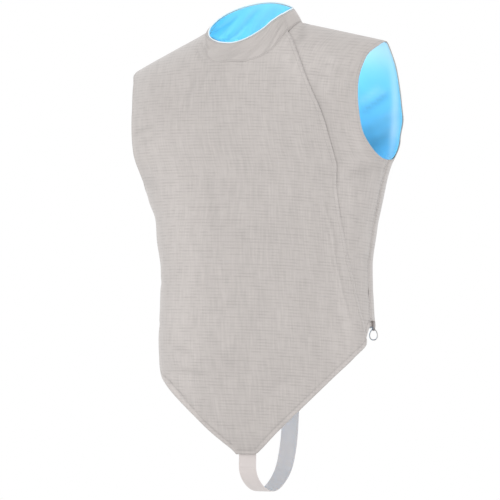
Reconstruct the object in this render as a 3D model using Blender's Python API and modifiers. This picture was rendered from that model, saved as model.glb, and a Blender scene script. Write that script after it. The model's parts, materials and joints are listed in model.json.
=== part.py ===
"""Foil fencing lame vest, worn shape with no wearer, metres, +Z up.

The wearer faces -Y, and +X is the wearer's left. The origin is the middle of the neck at shoulder level,
where a wearer holds the vest up. Every cloth piece is one open surface read from a body form and thickened
inward. A panel point is named by s, its place across from side edge to side edge (-1 to 1), and by h, its
height above the chest line. Below the chest line the form is a stack of flattened ovals. Above it the
columns arch over to the shoulder ridge. The upper body leans a little to the wearer's right.
"""

import math

import bpy
import numpy as np

# Cloth and seams
PANEL_WALL = 0.0012
LINING_WALL = 0.0010
GAP = 0.0003
SEAM_SHARE = 0.0004
LINING_DEPTH = PANEL_WALL + 0.0014
CLOSE_DEPTH = PANEL_WALL + 0.0008
LINING_INSET = 0.0015
LINING_HEM = 0.012
LEFT_HEM_RISE = 0.005
LAP_LIFT = 0.0032
LAP_FULL = 1.15
LAP_RAMP = 2.4

# Body form
SQUARE = 2.4
AXIS_Y = 0.013
CHEST = -0.165
ARM_BOTTOM = -0.240
CROWN = 0.190
RIDGE_GAP = 0.0005
ARCH = 1.3
FRONT_EDGE = 61.0
BACK_EDGE = 49.0
EDGE_PULL = 6

# Shoulders and neck
NECK_X = 0.084
NECK_Y = -0.010
NECK_Z = 0.006
TIP_X = 0.221
TIP_Y = 0.033
TIP_Z = -0.036
NAPE_RISE = 0.028
NAPE_WIDTH = 0.047
RIDGE_SOFT = 0.050
FRONT_NECK_DROP = 0.124
BACK_NECK_DROP = 0.078
BACK_NECK_SQUARE = 2.4
NECK_SHARES = (0.66, 0.84, 0.95)
RIGHT_SHARES = (0.172, 0.50, 0.64, 0.84, 0.95)
NECK_DIP = 4
SEAM_REACH = 0.004

# Collar
COLLAR_X = 0.0695
COLLAR_Y = 0.066
COLLAR_MID = (0.0015, -0.012, 0.0138)
COLLAR_TILT = 0.038
COLLAR_CANT = 0.021
CANT_TURN = 0.35
COLLAR_BULGE = 0.0015
COLLAR_ROWS = 3
COLLAR_LAP = 6
LAP_COLUMNS = 4
COLLAR_LIFT = 0.0030
COLLAR_CLEAR = 0.0010
COLLAR_DEPTH = 0.0033
PIPING_RADIUS = 0.0011

# Strap, slider and ring
STRAP_WIDTH = 0.030
STRAP_WALL = 0.0016
STRAP_STEPS = 30
STRAP_SEWN = 0.010
STRAP_S = (0.035, 0.035)
SLIDER_WALL = 0.0030
SLIDER_WIDTH = 0.0072
SLIDER_RISE = 0.0130
SLIDER_Y = 0.0195
TONGUE_RADIUS = 0.0030
EYE_RADIUS = 0.0016
EYE_Z = -0.4765
RING_WIRE = 0.0009
RING_HALF_WIDTH = 0.0066
RING_LENGTH = 0.0192

# Oval sections of the torso
SECTIONS = np.array((
    # height, half width front, half width back, depth front, depth back
    (-0.700, 0.165, 0.165, 0.074, 0.090),
    (-0.640, 0.171, 0.171, 0.095, 0.092),
    (-0.560, 0.177, 0.177, 0.113, 0.095),
    (-0.500, 0.180, 0.180, 0.122, 0.096),
    (-0.440, 0.177, 0.177, 0.124, 0.091),
    (-0.380, 0.175, 0.175, 0.127, 0.088),
    (-0.330, 0.182, 0.182, 0.131, 0.091),
    (-0.280, 0.1905, 0.1905, 0.135, 0.097),
    (-0.240, 0.2055, 0.2055, 0.136, 0.100),
    (-0.205, 0.2150, 0.2420, 0.136, 0.101),
    (-0.165, 0.2240, 0.2735, 0.133, 0.101),
))

# Half widths of the armhole edges above the chest line
ARM_EDGES = np.array((
    # height, front edge x, back edge x
    (-0.165, 0.2010, 0.2145),
    (-0.113, 0.2010, 0.2165),
    (-0.065, 0.2080, 0.2185),
    (-0.034, 0.2210, 0.2185),
))

# Lean of the upper body
LEAN = np.array((
    # height, lean angle in degrees, shift in x
    (-0.420, 0.0, 0.020),
    (-0.330, 3.0, 0.021),
    (-0.280, 6.0, 0.0255),
    (-0.240, 8.4, 0.0265),
    (-0.165, 7.4, 0.0120),
    (-0.080, 4.6, 0.0025),
    (-0.034, 4.3, -0.0020),
    (0.000, 4.2, -0.0010),
    (0.060, 4.2, -0.002),
))

# Front hem, a V with a short flat point
HEM = np.array((
    # s from side seam to side seam, h of the hem
    (-1.00, -0.3080),
    (-0.86, -0.3500),
    (-0.72, -0.3860),
    (-0.60, -0.3990),
    (-0.44, -0.4211),
    (-0.30, -0.4465),
    (-0.20, -0.4690),
    (-0.10, -0.4925),
    (-0.056, -0.5045),
    (-0.045, -0.5095),
    (0.037, -0.5095),
    (0.048, -0.5068),
    (0.20, -0.4680),
    (0.50, -0.4040),
    (0.78, -0.3550),
    (0.92, -0.3350),
    (1.00, -0.3080),
))
BACK_HEM_DROP = 0.004

# Front neckline: nearly straight down from the right shoulder, level in the middle, steep at the flap's corner
NECK = np.array((
    # share of the way out to the neck's side point, share of the drop on the right, and on the left
    (0.000, 1.000, 1.000),
    (0.140, 0.995, 0.999),
    (0.300, 0.942, 0.988),
    (0.420, 0.877, 0.960),
    (0.530, 0.740, 0.930),
    (0.690, 0.490, 0.880),
    (0.850, 0.230, 0.805),
    (0.930, 0.110, 0.735),
    (0.965, 0.052, 0.620),
    (0.985, 0.022, 0.400),
    (1.000, 0.000, 0.000),
))

# Free edge of the flap, which laps over the left front
FLAP = np.array((
    # h, s of the free edge, width of the lap in s
    (-0.335, 0.920, 0.15),
    (-0.269, 0.840, 0.16),
    (-0.173, 0.725, 0.16),
    (-0.106, 0.678, 0.16),
    (-0.033, 0.668, 0.16),
    (0.001, 0.640, 0.16),
    (0.046, 0.538, 0.15),
    (0.077, 0.450, 0.13),
    (0.115, 0.330, 0.10),
    (0.134, 0.258, 0.10),
))
FLAP_TOP = 0.134
COLLAR_START = 0.108

# Largest soft folds, a positive depth sinks in
FOLDS = np.array((
    # side, x, height, angle from level in degrees, length, width, depth
    (1, -0.110, -0.075, -38.0, 0.120, 0.020, 0.0030),
    (1, -0.060, -0.110, -34.0, 0.110, 0.024, 0.0022),
    (1, -0.165, -0.195, 24.0, 0.060, 0.014, 0.0024),
    (1, 0.150, -0.075, -62.0, 0.060, 0.014, 0.0020),
    (1, 0.120, -0.300, 84.0, 0.160, 0.018, 0.0016),
    (1, -0.125, -0.545, -14.0, 0.055, 0.015, 0.0022),
    (-1, 0.080, -0.120, 30.0, 0.140, 0.024, 0.0026),
    (-1, -0.100, -0.150, -36.0, 0.120, 0.022, 0.0024),
    (-1, 0.020, -0.360, 4.0, 0.200, 0.026, 0.0028),
))

# Free route of the strap at mid width, between its two sewn ends
STRAP = np.array((
    # y, height
    (-0.0640, -0.7000),
    (-0.0480, -0.7190),
    (-0.0180, -0.7330),
    (0.0150, -0.7350),
    (0.0460, -0.7240),
    (0.0730, -0.7040),
    (0.0890, -0.6760),
    (0.0990, -0.6380),
    (0.1050, -0.5700),
    (0.1045, -0.5100),
))

LAME = (0.60, 0.57, 0.55)
SATIN = (0.18, 0.62, 0.86)
WHITE = (0.86, 0.87, 0.88)
WEBBING = (0.74, 0.74, 0.76)
METAL = (0.42, 0.42, 0.44)


def ease(x, table, column):
    """Smooth read of a table: cubic steps whose slopes never overshoot the rows."""
    xs = table[:, 0]
    ys = table[:, column]
    slopes = np.diff(ys) / np.diff(xs)
    before, after = slopes[:-1], slopes[1:]
    level = before * after <= 0
    mean = np.where(level, 0.0, 2 * before * after / np.where(level, 1.0, before + after))
    rates = np.concatenate(([0.0], mean, [0.0]))
    x = np.clip(x, xs[0], xs[-1])
    i = np.clip(np.searchsorted(xs, x) - 1, 0, len(xs) - 2)
    step = xs[i + 1] - xs[i]
    u = (x - xs[i]) / step
    rise = u * u * (3 - 2 * u)
    return (ys[i] + rise * (ys[i + 1] - ys[i])
            + step * u * (1 - u) * ((1 - u) * rates[i] - u * rates[i + 1]))


def smooth(x, low, high):
    """0 below low, 1 above high, a soft step between."""
    u = np.clip((x - low) / (high - low), 0, 1)
    return u * u * (3 - 2 * u)


def unit(vectors):
    """Vectors scaled to length 1."""
    return vectors / np.linalg.norm(vectors, axis=-1, keepdims=True)


def column_of(side):
    """Index of the front (side 1) or back (side -1) column in the two width tables."""
    return 1 if side > 0 else 2


def edge_angle(side, z):
    """Angle of a panel's edge: 90 degrees at the side seam, then a quarter oval up the armhole."""
    chest = FRONT_EDGE if side > 0 else BACK_EDGE
    u = np.clip((CHEST - z) / (CHEST - ARM_BOTTOM), 0, 1)
    return np.radians(90 - (90 - chest) * np.sqrt(1 - u ** 2))


def oval_angle(side, s, z):
    """Angle of a column: the inner columns narrow slowly and only the outer ones follow the armhole."""
    chest = FRONT_EDGE if side > 0 else BACK_EDGE
    slow = np.radians(90 - (90 - chest) * smooth(z, 2 * ARM_BOTTOM - CHEST - 0.1, CHEST))
    return s * (slow + np.abs(s) ** EDGE_PULL * (edge_angle(side, z) - slow))


def ridge(x):
    """Depth and height of the shoulder ridge over x: a soft peak, level at the centre, with a rise at the nape."""
    reach = np.hypot(x, RIDGE_SOFT)
    centre, neck, tip = RIDGE_SOFT, math.hypot(NECK_X, RIDGE_SOFT), math.hypot(TIP_X, RIDGE_SOFT)
    slope = (NECK_Z - TIP_Z) / (tip - neck)
    z = NECK_Z + slope * (neck - reach) + NAPE_RISE * np.exp(-(x / NAPE_WIDTH) ** 2)
    y = NECK_Y + (TIP_Y - NECK_Y) * (reach - centre) / (tip - centre)
    return y, z


def lean(p):
    """Tilt each level of the form about Y and shift it, as the lean table says."""
    angle = np.radians(ease(p[..., 2], LEAN, 1))
    shift = ease(p[..., 2], LEAN, 2)
    x = shift + p[..., 0] * np.cos(angle)
    z = p[..., 2] + p[..., 0] * np.sin(angle)
    return np.stack((x, p[..., 1], z), axis=-1)


def form(side, s, h):
    """Points of the smooth body form, before its folds."""
    s, h = np.broadcast_arrays(np.asarray(s, float), np.asarray(h, float))
    z = np.minimum(h, 0) + CHEST
    half = ease(z, SECTIONS, column_of(side))
    depth = ease(z, SECTIONS, column_of(side) + 2)
    t = oval_angle(side, s, z)
    x = half * np.sign(t) * np.abs(np.sin(t)) ** (2 / SQUARE)
    y = AXIS_Y - side * depth * np.abs(np.cos(t)) ** (2 / SQUARE)
    climb = np.clip(h / CROWN, 0, 1) * math.pi / 2
    edge_z = CHEST + (ARM_EDGES[-1, 0] - CHEST) * np.sin(climb)
    x = x * ease(edge_z, ARM_EDGES, column_of(side)) / ARM_EDGES[0, column_of(side)]
    ridge_y, ridge_z = ridge(x)
    over = h > 0
    arch_y = ridge_y + (y - ridge_y) * np.cos(climb) ** ARCH - side * RIDGE_GAP * np.sin(climb) ** 8
    y = np.where(over, arch_y, y)
    z = np.where(over, CHEST + (ridge_z - CHEST) * np.sin(climb), z)
    return np.stack((x, y, z), axis=-1)


def fold_depth(side, p):
    """How far the soft folds sink the cloth at points p of the form."""
    total = np.zeros(p.shape[:-1])
    for where, x, z, turn, length, width, depth in FOLDS:
        if where != side:
            continue
        c, s = math.cos(math.radians(turn)), math.sin(math.radians(turn))
        along = (p[..., 0] - x) * c + (p[..., 2] - z) * s
        across = (p[..., 2] - z) * c - (p[..., 0] - x) * s
        total += depth * np.exp(-(across / width) ** 2 - (2 * along / length) ** 4)
    return total


def cloth_point(side, s, h, out=0.0):
    """Point of the worn cloth's outer face, moved out along its normal."""
    step = 1e-3
    s0, s1 = np.clip(s - step, -1, 1), np.clip(s + step, -1, 1)
    h1 = np.minimum(h + step, CROWN)
    across = lean(form(side, s1, h)) - lean(form(side, s0, h))
    up = lean(form(side, s, h1)) - lean(form(side, s, h1 - 2 * step))
    normal = unit(np.cross(across, up)) * side
    p = form(side, s, h)
    move = np.asarray(out) - fold_depth(side, p)
    return lean(p) + normal * move[..., None]


def neck_s(side):
    """s of the neck's side point: where the column that ends at the ridge meets NECK_X."""
    column = column_of(side)
    spread = ARM_EDGES[-1, column] / ARM_EDGES[0, column]
    share = NECK_X / spread / SECTIONS[-1, column]
    return math.asin(share ** (SQUARE / 2)) / math.radians(FRONT_EDGE if side > 0 else BACK_EDGE)


def top_h(side, s):
    """h of a panel's top: the shoulder seam, or the rounded neckline inside the neck's side points."""
    u = np.clip(np.abs(s) / neck_s(side), 0, 1)
    if side > 0:
        return CROWN - FRONT_NECK_DROP * np.where(np.asarray(s) < 0, ease(u, NECK, 1), ease(u, NECK, 2))
    return CROWN - BACK_NECK_DROP * (1 - u ** BACK_NECK_SQUARE) ** (1 / BACK_NECK_SQUARE)


def hem_h(side, s):
    """h of a panel's hem: a V in front, nearly level behind."""
    if side > 0:
        return ease(s, HEM, 1)
    return HEM[-1, 1] - BACK_HEM_DROP * (1 - np.asarray(s) ** 2)


def row_shares():
    """Shares of the way up: even to the armhole, closer round its lower quarter, even above the chest."""
    side_height = CROWN - HEM[-1, 1]
    low = (ARM_BOTTOM - CHEST - HEM[-1, 1]) / side_height
    chest = -HEM[-1, 1] / side_height
    curve = low + (chest - low) * (1 - np.cos(np.linspace(0, math.pi / 2, 6)))
    return np.concatenate((np.linspace(0, low, 9)[:-1], curve, np.linspace(chest, 1, 10)[1:]))


def columns(even, side, signs, shares):
    """Even s values with the nearest ones moved onto the neck's side points, and closer ones inside them."""
    even = np.array(even)
    extra = []
    for sign in signs:
        even[np.argmin(np.abs(even - sign * neck_s(side)))] = sign * neck_s(side)
        extra += [sign * neck_s(side) * share for share in shares]
    return np.sort(np.concatenate((even, extra)))


def row_h(v, hem, top):
    """h of a row at share v of the way up: rows run to the shoulder and dip to the neckline near the top."""
    return hem + (CROWN - hem) * v - (CROWN - top) * v ** NECK_DIP


def free_edge_h(v):
    """h of the flap's free edge for each share v of the way up, found by closing in on it."""
    h = HEM[-1, 1] + (FLAP_TOP - HEM[-1, 1]) * v
    for _ in range(30):
        hem = hem_h(1, ease(h, FLAP, 1))
        h = row_h(v, hem, FLAP_TOP)
    return h


def main_front():
    """Wearer's right and centre, out to the flap's free edge, lifted where it laps over the left front."""
    v = row_shares()[:, None]
    last = ease(free_edge_h(v), FLAP, 1)
    right = columns(np.linspace(SEAM_SHARE - 1, 0, 11), 1, (-1,), RIGHT_SHARES)
    left = np.concatenate(((0.041,), np.linspace(0, 1, 9)[1:-1], (0.95, 1)))
    s = np.hstack((right + 0 * v, last * left))
    top = top_h(1, s[-1])
    top = np.where(s[-1] > 0, np.minimum(top, FLAP_TOP), top)
    h = row_h(v, hem_h(1, s), top)
    inside = (ease(h, FLAP, 1) - s) / ease(h, FLAP, 2)
    return cloth_point(1, s, h, LAP_LIFT * (1 - smooth(inside, LAP_FULL, LAP_RAMP)))


def left_neck_s(h):
    """s of the neckline at height h on the wearer's left."""
    return neck_s(1) * np.interp((CROWN - h) / FRONT_NECK_DROP, NECK[::-1, 2], NECK[::-1, 0])


def hidden_edge_s(h):
    """s of the left front's hidden edge: one lap inside the free edge, and never inside the neckline."""
    return np.maximum(ease(h, FLAP, 1) - ease(h, FLAP, 2), left_neck_s(h) + 2 * SEAM_SHARE)


def left_hem_h(s):
    """h of the left front's hem: a little above the flap's, and level with the back's at the side seam."""
    return hem_h(1, s) + LEFT_HEM_RISE * (1 - smooth(s, FLAP[0, 1], 1 - SEAM_SHARE))


def left_front():
    """Narrow front from its hidden edge under the flap to the left side seam and armhole."""
    v = row_shares()[:, None]
    last = 1 - SEAM_SHARE
    h = HEM[-1, 1] + (CROWN - HEM[-1, 1]) * v
    for _ in range(30):
        first = hidden_edge_s(h)
        h = row_h(v, left_hem_h(first), CROWN)
    s = first + (last - first) * np.array((0, 0.08, 0.18, 0.30, 0.44, 0.58, 0.73, 0.87, 1))[None, :]
    return cloth_point(1, s, row_h(v, left_hem_h(s), CROWN))


def back():
    """Whole back, side seam to side seam."""
    v = row_shares()[:, None]
    s = columns(np.linspace(SEAM_SHARE - 1, 1 - SEAM_SHARE, 19), -1, (-1, 1), NECK_SHARES) + 0 * v
    h = row_h(v, hem_h(-1, s), top_h(-1, s))
    return cloth_point(-1, s, h)


def spaced(points, least):
    """Points without those nearer than least to the one before."""
    kept = [points[0]]
    for p in points[1:]:
        if np.linalg.norm(p - kept[-1]) > least:
            kept.append(p)
    return np.array(kept)


def neckline():
    """Edge of the panels once round the neck, from under the flap's corner, behind, to that corner."""
    h = np.linspace(COLLAR_START, CROWN, 6)
    left = cloth_point(1, left_neck_s(h), h)
    behind = back()[-1][::-1]
    main = main_front()[-1]
    behind = behind[np.abs(behind[:, 0]) < NECK_X + SEAM_REACH]
    main = main[main[:, 0] > -NECK_X - SEAM_REACH]
    return spaced(np.concatenate((left, behind, main)), 0.003)


def collar():
    """Stand collar: a ruled band from the neckline up to a tilted oval, higher at the wearer's left."""
    line = neckline()
    base = np.empty((2 * len(line) - 1, 3))
    base[0::2], base[1::2] = line, (line[1:] + line[:-1]) / 2
    mid = np.array(COLLAR_MID)
    turn = np.arctan2((base[:, 0] - mid[0]) / COLLAR_X, -(base[:, 1] - mid[1]) / COLLAR_Y)
    cant = COLLAR_CANT * np.maximum(np.sin(turn + CANT_TURN), 0) ** 3
    top = np.stack((COLLAR_X * np.sin(turn), -COLLAR_Y * np.cos(turn), cant - COLLAR_TILT * np.cos(turn)), axis=-1)
    top = mid + top
    rise = unit(top - base)
    normal = unit(np.cross(np.gradient(base, axis=0), rise))
    index = np.arange(len(base))
    lap = COLLAR_LIFT * smooth(index, len(base) - COLLAR_LAP - 4, len(base) - COLLAR_LAP)
    base = base + rise * COLLAR_CLEAR
    rows = []
    for v in np.linspace(0, 1, COLLAR_ROWS + 1):
        push = COLLAR_BULGE * 4 * v * (1 - v) + lap * v
        rows.append(base + (top - base) * v + normal * push[:, None])
    return np.array(rows)


def strap_end(side):
    """Outer face of the strap where it is sewn inside a hem: STRAP_SEWN above the edge, and at it."""
    heights = hem_h(side, 0.0) + np.array((STRAP_SEWN, 0.0))
    inside = cloth_point(side, np.array(STRAP_S), heights, -PANEL_WALL - 5 * GAP)
    return inside[:, 1:]


def strap_path():
    """Strap's outer face at mid width, evenly spaced points on a smooth curve through its rows."""
    rows = np.vstack((strap_end(1), STRAP, strap_end(-1)[::-1]))
    rows = np.vstack((2 * rows[0] - rows[1], rows, 2 * rows[-1] - rows[-2]))
    points = []
    for i in range(1, len(rows) - 2):
        a, b, c, d = rows[i - 1:i + 3]
        for u in np.linspace(0, 1, 12, endpoint=False):
            points.append(0.5 * (2 * b + (c - a) * u + (2 * a - 5 * b + 4 * c - d) * u ** 2
                                 + (3 * b - a - 3 * c + d) * u ** 3))
    points = np.array(points + [rows[-2]])
    run = np.concatenate(([0], np.cumsum(np.linalg.norm(np.diff(points, axis=0), axis=1))))
    even = np.linspace(0, run[-1], STRAP_STEPS + 1)
    return np.stack([np.interp(even, run, points[:, k]) for k in (0, 1)], axis=-1)


def inside_of(panel, points, depth):
    """Points of a layer at a depth inside a panel's outer face."""
    normals = np.array([v.normal for v in panel.data.vertices]).reshape(points.shape)
    return points - normals * depth


def slid_in(points, ends, sides):
    """A layer's points with its first and last rows and columns slid inward by given lengths."""
    layer = points.copy()
    for axis, (start, end) in ((0, ends), (1, sides)):
        grid = np.moveaxis(layer, axis, 0)
        for edge, inner, slide in ((0, 1, start), (-1, -2, end)):
            run = grid[inner] - grid[edge]
            length = np.linalg.norm(run, axis=-1, keepdims=True)
            grid[edge] += run * np.minimum(slide / length, 0.9)
    return layer


def material(name, colour, roughness, metallic=0.0):
    """Principled material in one plain colour."""
    made = bpy.data.materials.new(name)
    made.use_nodes = True
    shader = made.node_tree.nodes["Principled BSDF"]
    shader.inputs["Base Color"].default_value = (*colour, 1.0)
    shader.inputs["Roughness"].default_value = roughness
    shader.inputs["Metallic"].default_value = metallic
    made.diffuse_color = (*colour, 1.0)
    return made


def add_object(name, data, finish, collection):
    """New object in the vest's collection with one material."""
    made = bpy.data.objects.new(name, data)
    data.materials.append(finish)
    collection.objects.link(made)
    return made


def cloth(name, points, wall, finish, collection, outward=1):
    """Cloth of even wall: an open grid of points, thickened inward from its outer face."""
    count, width = points.shape[:2]
    faces = []
    for i in range(count - 1):
        for j in range(width - 1):
            a = i * width + j
            b = a + width
            for corners in ((a, a + 1, b + 1), (a, b + 1, b)):
                faces.append(corners[::outward])
    mesh = bpy.data.meshes.new(name)
    mesh.from_pydata(points.reshape(-1, 3).tolist(), [], faces)
    mesh.shade_smooth()
    made = add_object(name, mesh, finish, collection)
    shell = made.modifiers.new("wall", "SOLIDIFY")
    shell.thickness = wall
    shell.offset = -1.0
    return made


def wire(name, points, radius, closed, finish, collection):
    """Round wire or piping along points, with capped ends where it is open."""
    curve = bpy.data.curves.new(name, "CURVE")
    curve.dimensions = "3D"
    curve.bevel_depth = radius
    curve.bevel_resolution = 2
    curve.use_fill_caps = True
    spline = curve.splines.new("POLY")
    spline.points.add(len(points) - 1)
    for target, p in zip(spline.points, points):
        target.co = (*p, 1.0)
    spline.use_cyclic_u = closed
    return add_object(name, curve, finish, collection)


def make_panels(lame, satin, collection):
    """Three lame panels, and a satin lining inside each made from the panel's own points."""
    for name, points, outward, lining_columns, depth in (
            ("front_right", main_front(), 1, -LAP_COLUMNS, LINING_DEPTH),
            ("front_left", left_front(), 1, None, CLOSE_DEPTH),
            ("back", back(), -1, None, LINING_DEPTH)):
        panel = cloth(name, points, PANEL_WALL, lame, collection, outward)
        layer = inside_of(panel, points, depth)[:, :lining_columns]
        layer = slid_in(layer, (LINING_HEM, 3 * LINING_INSET), (LINING_INSET, LINING_INSET))
        cloth("lining_" + name, layer, LINING_WALL, satin, collection, outward)


def make_collar(lame, satin, white, collection):
    """Collar band, its satin lining and the thin piping on its top edge."""
    points = collar()
    band = cloth("collar", points, PANEL_WALL, lame, collection)
    layer = inside_of(band, points, COLLAR_DEPTH)[:, :-COLLAR_LAP - 1]
    layer = slid_in(layer, (LINING_INSET, GAP), (LINING_INSET, LINING_INSET))
    cloth("lining_collar", layer, LINING_WALL, satin, collection)
    middle = inside_of(band, points, PANEL_WALL / 2)
    edge = middle[-1] + unit(middle[-1] - middle[-2]) * (PIPING_RADIUS + 2 * GAP)
    wire("collar_piping", edge, PIPING_RADIUS, False, white, collection)


def make_strap(webbing, collection):
    """Elastic strap: one flat band from inside the front point round to inside the back hem."""
    path = strap_path()
    mid_x = LEAN[0, 2]
    edges = np.array((-STRAP_WIDTH / 2, STRAP_WIDTH / 2))
    points = np.array([[(mid_x + x, y, z) for x in edges] for y, z in path])
    cloth("crotch_strap", points, STRAP_WALL, webbing, collection, -1)


def make_slider(metal, collection):
    """Zip slider: a flat plate with a rounded tongue below and an eye for the ring."""
    curve = bpy.data.curves.new("zip_slider", "CURVE")
    curve.dimensions = "2D"
    curve.fill_mode = "BOTH"
    curve.extrude = SLIDER_WALL / 2
    half = SLIDER_WIDTH / 2
    tongue = [(TONGUE_RADIUS * math.cos(a), TONGUE_RADIUS * math.sin(a))
              for a in np.linspace(math.pi, 2 * math.pi, 13)]
    body = [(half, TONGUE_RADIUS * 1.3), (half, SLIDER_RISE - half / 2), (half / 2, SLIDER_RISE),
            (-half / 2, SLIDER_RISE), (-half, SLIDER_RISE - half / 2), (-half, TONGUE_RADIUS * 1.3)]
    eye = [(EYE_RADIUS * math.cos(a), EYE_RADIUS * math.sin(a))
           for a in np.linspace(0, 2 * math.pi, 17)[:-1]]
    for outline in (tongue + body, eye):
        spline = curve.splines.new("POLY")
        spline.points.add(len(outline) - 1)
        for target, (x, y) in zip(spline.points, outline):
            target.co = (x, y, 0.0, 1.0)
        spline.use_cyclic_u = True
    made = add_object("zip_slider", curve, metal, collection)
    made.location = (slider_x(), SLIDER_Y, EYE_Z)
    made.rotation_euler = (math.pi / 2, 0.0, math.pi / 2)
    return made


def slider_x():
    """x of the slider's middle plane: just off the widest cloth behind it."""
    heights = HEM[-1, 1] + np.linspace(0, SLIDER_RISE, 6)
    widest = cloth_point(-1, 1 - SEAM_SHARE, heights)[:, 0].max()
    return widest + GAP + SLIDER_WALL / 2


def make_ring(metal, collection):
    """Wire pull: an oval hung in the slider's eye, with its origin on the eye's axis."""
    points = []
    for a in np.linspace(0, 2 * math.pi, 29)[:-1]:
        narrow = 1 - 0.18 * math.cos(a)
        x = RING_HALF_WIDTH * math.sin(a) * narrow
        z = (RING_LENGTH / 2 - RING_WIRE) * (math.cos(a) - 1)
        points.append((x, 0.0, z))
    ring = wire("pull_ring", points, RING_WIRE, True, metal, collection)
    ring.location = (slider_x(), SLIDER_Y, EYE_Z)
    return ring


def main():
    for item in list(bpy.data.objects):
        bpy.data.objects.remove(item, do_unlink=True)
    collection = bpy.data.collections.new("fencing_lame_vest")
    bpy.context.scene.collection.children.link(collection)
    lame = material("silver_lame", LAME, 0.45, 0.5)
    satin = material("blue_satin", SATIN, 0.35)
    white = material("white_piping", WHITE, 0.6)
    webbing = material("white_elastic", WEBBING, 0.8)
    metal = material("grey_metal", METAL, 0.35, 1.0)
    make_panels(lame, satin, collection)
    make_collar(lame, satin, white, collection)
    make_strap(webbing, collection)
    make_slider(metal, collection)
    make_ring(metal, collection)


main()
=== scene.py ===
# %% [markdown]
# # A foil fencing lame vest
#
# This lesson dresses a plain solid model of a sleeveless fencing vest. The real vest is woven from silver
# thread and lined with light blue satin. Here it stands filled out with nobody in it. Each piece of cloth is
# one surface worked out with numpy, thin as cloth, with its creases put in one by one.

# %% Load the frame
import json
import math

import bpy
import numpy as np
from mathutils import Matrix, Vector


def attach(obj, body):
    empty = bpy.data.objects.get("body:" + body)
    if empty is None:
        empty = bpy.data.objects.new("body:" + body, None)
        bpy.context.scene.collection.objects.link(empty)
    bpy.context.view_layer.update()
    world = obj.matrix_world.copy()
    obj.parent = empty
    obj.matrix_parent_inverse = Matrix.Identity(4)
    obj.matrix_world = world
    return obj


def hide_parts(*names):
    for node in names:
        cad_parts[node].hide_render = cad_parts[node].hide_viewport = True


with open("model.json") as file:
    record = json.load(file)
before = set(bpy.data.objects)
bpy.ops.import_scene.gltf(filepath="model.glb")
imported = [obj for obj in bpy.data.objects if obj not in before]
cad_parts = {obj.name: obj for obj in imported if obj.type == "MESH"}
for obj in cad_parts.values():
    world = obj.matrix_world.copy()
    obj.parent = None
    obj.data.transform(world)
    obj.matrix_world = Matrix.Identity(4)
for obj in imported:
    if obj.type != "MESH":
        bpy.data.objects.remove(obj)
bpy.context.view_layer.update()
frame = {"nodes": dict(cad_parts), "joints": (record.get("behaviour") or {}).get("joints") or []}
print("solids:", sorted(frame["nodes"]))

# %% [markdown]
# ## The body under the cloth
#
# A vest has no shape of its own, so we first need the body that fills it. Below the chest line it is a stack
# of flattened ovals. Above it the cloth arches over to the shoulders. A smooth curve joins the rows of each
# short table, so a change to one number moves the cloth gently around it.

# %% Sizes of the vest, in metres
PANEL_WALL = 0.0012
LINING_WALL = 0.0009
GAP = 0.0003
MM = 0.001
SEAM_SHARE = 0.0004
LINING_DEPTH = PANEL_WALL + 0.0014
CLOSE_DEPTH = PANEL_WALL + 0.0008
LEFT_HEM_RISE = 0.005
LAP_LIFT = 0.0032
LAP_FULL = 1.15
LAP_RAMP = 2.4
SQUARE = 2.4
AXIS_Y = 0.013
CHEST = -0.165
ARM_BOTTOM = -0.240
CROWN = 0.190
RIDGE_GAP = 0.0005
ARCH = 1.3
EDGE_ANGLE = {1: 61.0, -1: 49.0}
EDGE_PULL = 6
NECK_X = 0.084
NECK_Y = -0.010
NECK_Z = 0.006
TIP_X = 0.221
TIP_Y = 0.033
TIP_Z = -0.036
NAPE_RISE = 0.028
NAPE_WIDTH = 0.047
RIDGE_SOFT = 0.050
FRONT_NECK_DROP = 0.124
BACK_NECK_DROP = 0.078
BACK_NECK_SQUARE = 2.4
NECK_DIP = 4
BACK_HEM_DROP = 0.004
FLAP_TOP = 0.134

SECTIONS = np.array((
    # height, half width front, half width back, depth front, depth back
    (-0.700, 0.165, 0.165, 0.074, 0.090),
    (-0.640, 0.171, 0.171, 0.095, 0.092),
    (-0.560, 0.177, 0.177, 0.113, 0.095),
    (-0.500, 0.180, 0.180, 0.122, 0.096),
    (-0.440, 0.177, 0.177, 0.124, 0.091),
    (-0.380, 0.175, 0.175, 0.127, 0.088),
    (-0.330, 0.182, 0.182, 0.131, 0.091),
    (-0.280, 0.1905, 0.1905, 0.135, 0.097),
    (-0.240, 0.2055, 0.2055, 0.136, 0.100),
    (-0.205, 0.2150, 0.2420, 0.136, 0.101),
    (-0.165, 0.2240, 0.2735, 0.133, 0.101),
))
ARM_EDGES = np.array((
    # height, front edge x, back edge x
    (-0.165, 0.2010, 0.2145),
    (-0.113, 0.2010, 0.2165),
    (-0.065, 0.2080, 0.2185),
    (-0.034, 0.2210, 0.2185),
))
LEAN = np.array((
    # height, lean angle in degrees, shift in x
    (-0.420, 0.0, 0.020),
    (-0.330, 3.0, 0.021),
    (-0.280, 6.0, 0.0255),
    (-0.240, 8.4, 0.0265),
    (-0.165, 7.4, 0.0120),
    (-0.080, 4.6, 0.0025),
    (-0.034, 4.3, -0.0020),
    (0.000, 4.2, -0.0010),
    (0.060, 4.2, -0.002),
))
HEM = np.array((
    # s from side seam to side seam, h of the hem
    (-1.00, -0.3080),
    (-0.86, -0.3500),
    (-0.72, -0.3860),
    (-0.60, -0.3990),
    (-0.44, -0.4211),
    (-0.30, -0.4465),
    (-0.20, -0.4690),
    (-0.10, -0.4925),
    (-0.056, -0.5045),
    (-0.045, -0.5095),
    (0.037, -0.5095),
    (0.048, -0.5068),
    (0.20, -0.4680),
    (0.50, -0.4040),
    (0.78, -0.3550),
    (0.92, -0.3350),
    (1.00, -0.3080),
))
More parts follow.
